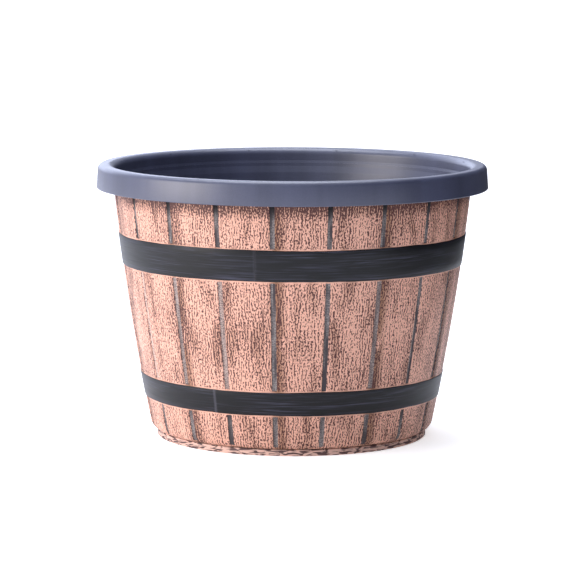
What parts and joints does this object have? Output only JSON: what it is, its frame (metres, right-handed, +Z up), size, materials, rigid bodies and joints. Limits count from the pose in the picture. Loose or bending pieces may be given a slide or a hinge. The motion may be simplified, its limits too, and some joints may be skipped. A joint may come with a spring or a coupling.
{
  "type": "barrel planter",
  "caption": "Half-barrel floor planter with moulded staves, dark hoops, a lift-out liner with a rolled rim, drain plugs and a drip saucer.",
  "frame": {"origin": "centre of the base, on the surface that the planter stands on", "axes": "+Z up the planter's axis, -Y towards the side seen in the picture, +X to its right"},
  "size_m": [0.392, 0.3918, 0.2725],
  "materials": {
    "stave_plastic": "moulded polypropylene with a printed wood effect",
    "saucer_plastic": "moulded polypropylene with a printed wood effect",
    "hoop_plastic": "streaked satin black",
    "liner_plastic": "fine matt moulded grain",
    "plug_rubber": "soft matt"
  },
  "bodies": {
    "saucer": {"saucer": "saucer_plastic"},
    "barrel": {"stave_shell": "stave_plastic", "lower_hoop": "hoop_plastic", "upper_hoop": "hoop_plastic"},
    "liner": {"planting_liner": "liner_plastic"},
    "plug_1": {"drain_plug_1": "plug_rubber"},
    "plug_2": {"drain_plug_2": "plug_rubber"},
    "plug_3": {"drain_plug_3": "plug_rubber"},
    "plug_4": {"drain_plug_4": "plug_rubber"}
  },
  "joints": [
    {"name": "barrel_lift", "type": "slide", "parent": "saucer", "child": "barrel", "axis": [0, 0, 1], "range_m": [0, 0.05]},
    {"name": "liner_lift", "type": "slide", "parent": "barrel", "child": "liner", "axis": [0, 0, 1], "range_m": [0, 0.26]},
    {"name": "plug_1_pull", "type": "slide", "parent": "liner", "child": "plug_1", "axis": [0, 0, 1], "range_m": [0, 0.05]},
    {"name": "plug_2_pull", "type": "slide", "parent": "liner", "child": "plug_2", "axis": [0, 0, 1], "range_m": [0, 0.05]},
    {"name": "plug_3_pull", "type": "slide", "parent": "liner", "child": "plug_3", "axis": [0, 0, 1], "range_m": [0, 0.05]},
    {"name": "plug_4_pull", "type": "slide", "parent": "liner", "child": "plug_4", "axis": [0, 0, 1], "range_m": [0, 0.05]}
  ]
}
